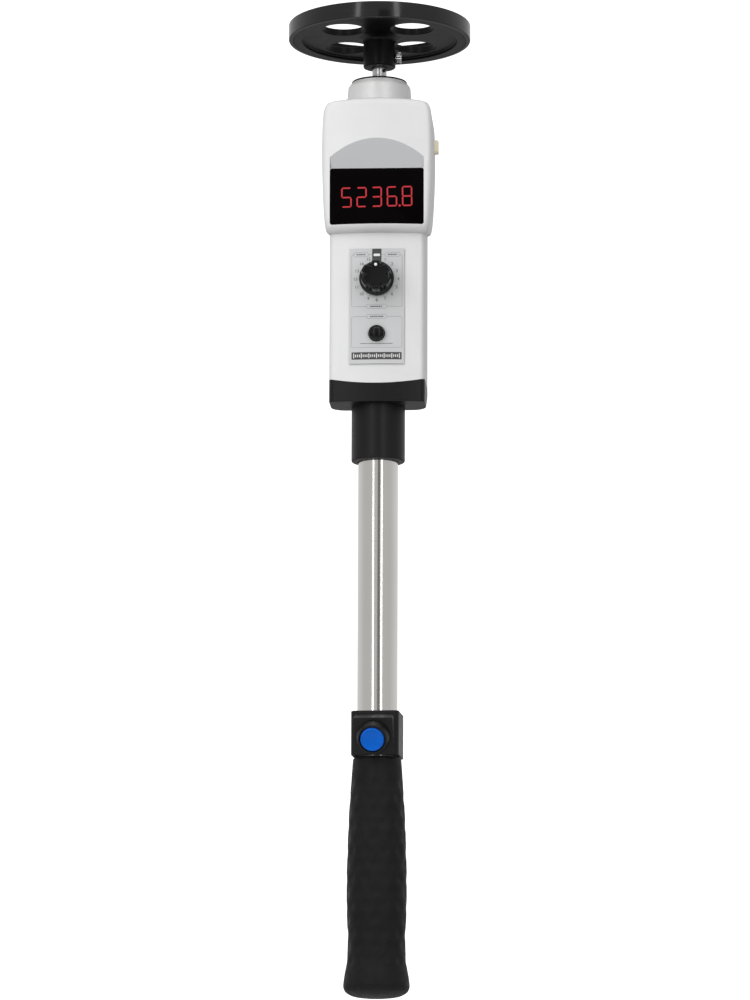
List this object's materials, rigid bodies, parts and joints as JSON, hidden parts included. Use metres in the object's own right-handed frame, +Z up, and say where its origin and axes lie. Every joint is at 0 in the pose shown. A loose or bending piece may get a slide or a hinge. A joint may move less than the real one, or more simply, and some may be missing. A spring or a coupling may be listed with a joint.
{
  "type": "contact tachometer with surface speed wheel",
  "caption": "Hand-held contact tachometer: a measuring wheel on a spindle above a display head with a rotary selector, on a steel extension pole with a thumb switch and a rubber grip.",
  "frame": {"origin": "centre of the lower end of the hand grip", "axes": "+Z up along the pole to the measuring wheel, -Y out of the display, +X to the right of someone reading the display"},
  "size_m": [0.097, 0.097, 0.5185],
  "materials": {
    "case": "fine satin, light silver grey",
    "black": "satin black",
    "steel": "turned and bright",
    "tube": "polished stainless tube",
    "grip": "dimpled, matte",
    "wheel": "smooth black",
    "tyre": "smooth tread, slight sheen",
    "neck": "silver grey satin",
    "window": "smoked, glossy",
    "label": "printed film",
    "knob": "glossy black",
    "white": "plain",
    "cream": "plain",
    "blue": "glossy blue",
    "board": "solder mask",
    "cell": "wrapped cell",
    "brass": "plain"
  },
  "bodies": {
    "instrument": {"battery_1": "cell", "battery_2": "cell", "battery_3": "cell", "battery_4": "cell", "battery_contact_lower": "brass", "battery_contact_upper": "brass", "battery_tray": "black", "cable_plug": "white", "case_screw_lower_left": "steel", "case_screw_lower_right": "steel", "case_screw_upper_left": "steel", "case_screw_upper_right": "steel", "collar_screw": "steel", "display_board": "board", "display_module": "black", "display_window": "window", "front_case": "case", "hand_grip": "grip", "lower_bearing": "steel", "main_board": "board", "measure_switch": "black", "memory_switch": "black", "neck_seal": "black", "optical_sensor": "black", "panel_label": "label", "pole_adapter": "black", "pole_tube": "tube", "rear_case": "case", "selector_switch": "black", "sensor_neck": "neck", "signal_cable": "black", "switch_bezel": "black", "switch_block": "black", "thumb_switch": "black", "tube_plug": "black", "upper_bearing": "steel"},
    "wheel_spindle": {"spindle": "steel", "drive_pin": "black", "spindle_clip": "steel", "encoder_hub": "black", "encoder_disc": "black", "contact_wheel": "wheel", "wheel_tyre": "tyre", "wheel_thumb_screw": "steel"},
    "selector": {"selector_knob": "knob", "selector_shaft": "steel", "knob_pointer_dot": "white"},
    "measure_key": {"measure_button": "knob"},
    "memory_key": {"memory_button": "cream"},
    "thumb_key": {"thumb_button": "blue"},
    "battery_cover": {"battery_door": "case"}
  },
  "joints": [
    {"name": "spindle_turn", "type": "hinge", "parent": "instrument", "child": "wheel_spindle", "pos_m": [0, 0, 0.49], "axis": [0, 0, 1], "continuous": true},
    {"name": "selector_turn", "type": "hinge", "parent": "instrument", "child": "selector", "pos_m": [0, -0.02, 0.3755], "axis": [0, 1, 0], "range_deg": [0, 337.5]},
    {"name": "measure_press", "type": "slide", "parent": "instrument", "child": "measure_key", "axis": [0, 1, 0], "range_m": [0, 0.0015], "stiffness_N_per_m": 300, "springref_m": -0.0008},
    {"name": "memory_press", "type": "slide", "parent": "instrument", "child": "memory_key", "axis": [-1, 0, 0], "range_m": [0, 0.0012], "stiffness_N_per_m": 300, "springref_m": -0.0008},
    {"name": "thumb_press", "type": "slide", "parent": "instrument", "child": "thumb_key", "axis": [0.0614, 0.9251, 0.3746], "range_m": [0, 0.002], "stiffness_N_per_m": 400, "springref_m": -0.001},
    {"name": "battery_cover_tilt", "type": "hinge", "parent": "instrument", "child": "battery_cover", "pos_m": [0, 0.0198, 0.3235], "axis": [-1, 0, 0], "range_deg": [0, 70]}
  ]
}
